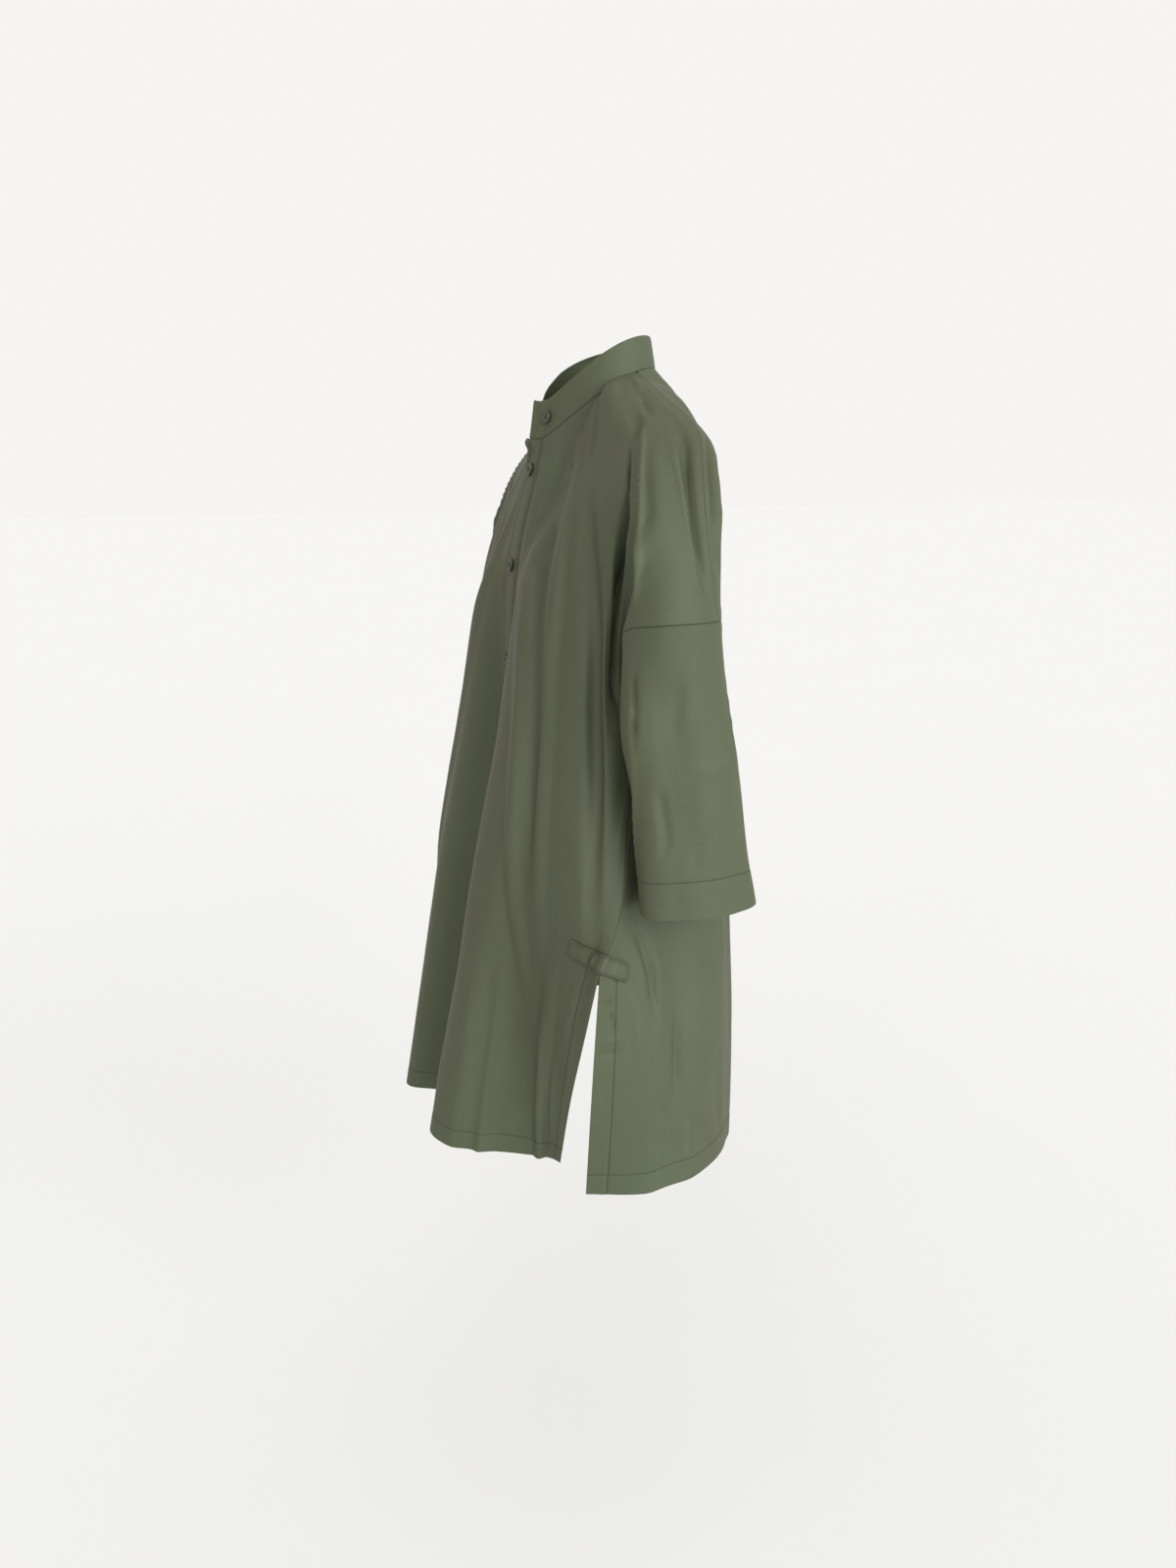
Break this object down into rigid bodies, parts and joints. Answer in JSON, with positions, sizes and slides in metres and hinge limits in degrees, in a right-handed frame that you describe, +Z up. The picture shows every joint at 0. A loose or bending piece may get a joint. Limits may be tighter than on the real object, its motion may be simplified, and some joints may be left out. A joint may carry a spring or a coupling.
{
  "type": "band-collar overshirt",
  "caption": "Long loose overshirt of olive poplin with a standing band collar, a buttoned front placket, wide dropped sleeves and side vents, held in its worn form.",
  "frame": {"origin": "the middle of the neck hole, 9 mm below the back neck seam, where the wearer's neck passes through; the garment hangs from the neck and shoulders round it", "axes": "+X to the wearer's left, -Y to the front, +Z up"},
  "size_m": [0.664, 0.4023, 0.9373],
  "materials": {
    "poplin": "crisp cotton poplin, fine plain weave, slight green and brown two-tone sheen",
    "button": "dark olive polyester resin, semi-gloss, raised rim and four holes"
  },
  "bodies": {
    "root": {"front_left": "poplin", "front_right": "poplin", "back": "poplin", "sleeve_left": "poplin", "sleeve_right": "poplin", "collar_band": "poplin", "placket_left": "poplin", "placket_right": "poplin", "vent_tab_left": "poplin", "vent_tab_right": "poplin", "button_1": "button", "button_2": "button", "button_3": "button", "button_4": "button", "button_5": "button", "button_6": "button", "button_7": "button"}
  },
  "joints": []
}
